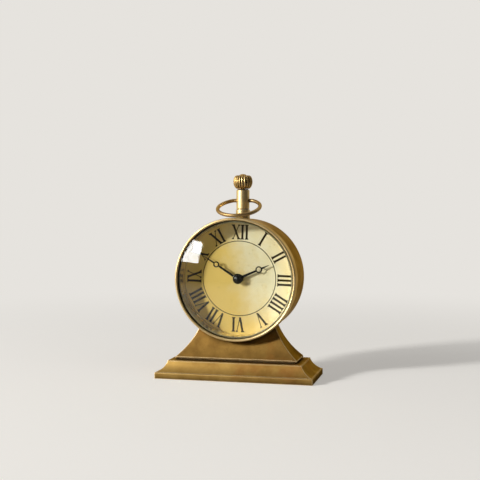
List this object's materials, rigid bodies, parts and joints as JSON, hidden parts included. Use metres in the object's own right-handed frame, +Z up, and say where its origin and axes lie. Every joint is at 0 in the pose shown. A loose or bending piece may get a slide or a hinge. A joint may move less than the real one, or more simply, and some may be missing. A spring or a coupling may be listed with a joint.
{
  "type": "desk clock",
  "caption": "Pocket-watch style desk clock: a domed glass drum with bow and fluted crown, cradled on a flared brass pedestal and moulded plinth.",
  "frame": {"origin": "on the underside, under the middle of the plinth", "axes": "+X to the right seen from the front, +Y to the back, +Z up; the dial faces -Y"},
  "size_m": [0.083, 0.0365, 0.1066],
  "materials": {
    "aged_brass": "satin, aged with a dark patina in the corners",
    "bright_brass": "polished",
    "crystal_glass": "clear, polished dome",
    "dial_paper": "aged cream paper, matt",
    "black_lacquer": "black, semi-gloss",
    "black_plastic": "moulded, fine grain",
    "white_plastic": "moulded acetal",
    "steel": "bright",
    "magnet": "sintered, dark grey",
    "copper": "enamelled wire",
    "board_green": "solder-masked laminate",
    "resin_black": "cured resin"
  },
  "bodies": {
    "stand_and_case": {"base_plinth": "aged_brass", "pedestal": "aged_brass", "stand_screws": "steel", "cradle_screw": "steel", "case_body": "aged_brass", "bezel": "aged_brass", "crystal": "crystal_glass", "reflector_ring": "bright_brass", "dial_paper": "dial_paper", "dial_plate": "bright_brass", "dial_nuts": "steel", "pendant_neck": "aged_brass", "neck_nut": "steel", "crown_grub_screw": "steel", "movement_front_plate": "black_plastic", "movement_housing": "black_plastic", "movement_screws": "steel", "stator": "steel", "coil_bobbin": "black_plastic", "coil_winding": "copper", "button_cell": "steel", "negative_contact": "steel", "positive_contact": "steel", "circuit_board": "board_green", "chip_cap": "resin_black", "quartz_crystal": "steel"},
    "rear_cover": {"rear_cover": "aged_brass"},
    "crown": {"crown": "aged_brass"},
    "bow": {"bow": "aged_brass"},
    "minute_hand": {"minute_arbor": "steel", "minute_hand": "black_lacquer", "hand_hub": "black_lacquer", "set_knob": "white_plastic", "clutch_washer": "steel"},
    "minute_wheel": {"minute_wheel": "white_plastic"},
    "hour_hand": {"hour_wheel": "white_plastic", "hour_hand": "black_lacquer"},
    "seconds_wheel": {"seconds_wheel": "white_plastic"},
    "intermediate_wheel": {"intermediate_wheel": "white_plastic"},
    "rotor": {"rotor_pinion": "white_plastic", "rotor_magnet": "magnet"},
    "third_wheel": {"third_wheel": "white_plastic"},
    "centre_wheel": {"centre_wheel": "white_plastic"}
  },
  "joints": [
    {"name": "rear_cover_pull", "type": "slide", "parent": "stand_and_case", "child": "rear_cover", "axis": [0, 1, 0], "range_m": [0, 0.03]},
    {"name": "bow_swing", "type": "hinge", "parent": "stand_and_case", "child": "bow", "pos_m": [0, 0.0075, 0.0925], "axis": [-1, 0, 0], "range_deg": [0, 236]},
    {"name": "crown_turn", "type": "hinge", "parent": "stand_and_case", "child": "crown", "pos_m": [0, 0.0075, 0.0967], "axis": [0, 0, 1], "continuous": true},
    {"name": "minute_hand_turn", "type": "hinge", "parent": "stand_and_case", "child": "minute_hand", "pos_m": [0, -0.0041, 0.0518], "axis": [0, 1, 0], "continuous": true},
    {"name": "minute_wheel_turn", "type": "hinge", "parent": "stand_and_case", "child": "minute_wheel", "pos_m": [-0.00407, 0.0021, 0.04773], "axis": [0, 1, 0], "continuous": true},
    {"name": "hour_hand_turn", "type": "hinge", "parent": "stand_and_case", "child": "hour_hand", "pos_m": [0, -0.003, 0.0518], "axis": [0, 1, 0], "continuous": true},
    {"name": "seconds_wheel_turn", "type": "hinge", "parent": "stand_and_case", "child": "seconds_wheel", "pos_m": [-0.00434, 0.0048, 0.06209], "axis": [0, 1, 0], "continuous": true},
    {"name": "intermediate_wheel_turn", "type": "hinge", "parent": "stand_and_case", "child": "intermediate_wheel", "pos_m": [0.00049, 0.0057, 0.06209], "axis": [0, 1, 0], "continuous": true},
    {"name": "rotor_turn", "type": "hinge", "parent": "stand_and_case", "child": "rotor", "pos_m": [0.00477, 0.0057, 0.06149], "axis": [0, 1, 0], "continuous": true},
    {"name": "third_wheel_turn", "type": "hinge", "parent": "stand_and_case", "child": "third_wheel", "pos_m": [-0.00751, 0.0039, 0.05613], "axis": [0, 1, 0], "continuous": true},
    {"name": "centre_wheel_turn", "type": "hinge", "parent": "stand_and_case", "child": "centre_wheel", "pos_m": [0, 0.003, 0.0518], "axis": [0, 1, 0], "continuous": true}
  ],
  "couplings": [
    {"joint": "minute_wheel_turn", "follows": "minute_hand_turn", "ratio": -0.33333},
    {"joint": "hour_hand_turn", "follows": "minute_hand_turn", "ratio": 0.083333},
    {"joint": "intermediate_wheel_turn", "follows": "seconds_wheel_turn", "ratio": -6},
    {"joint": "rotor_turn", "follows": "seconds_wheel_turn", "ratio": 30},
    {"joint": "third_wheel_turn", "follows": "seconds_wheel_turn", "ratio": -0.125},
    {"joint": "centre_wheel_turn", "follows": "seconds_wheel_turn", "ratio": 0.016667}
  ]
}
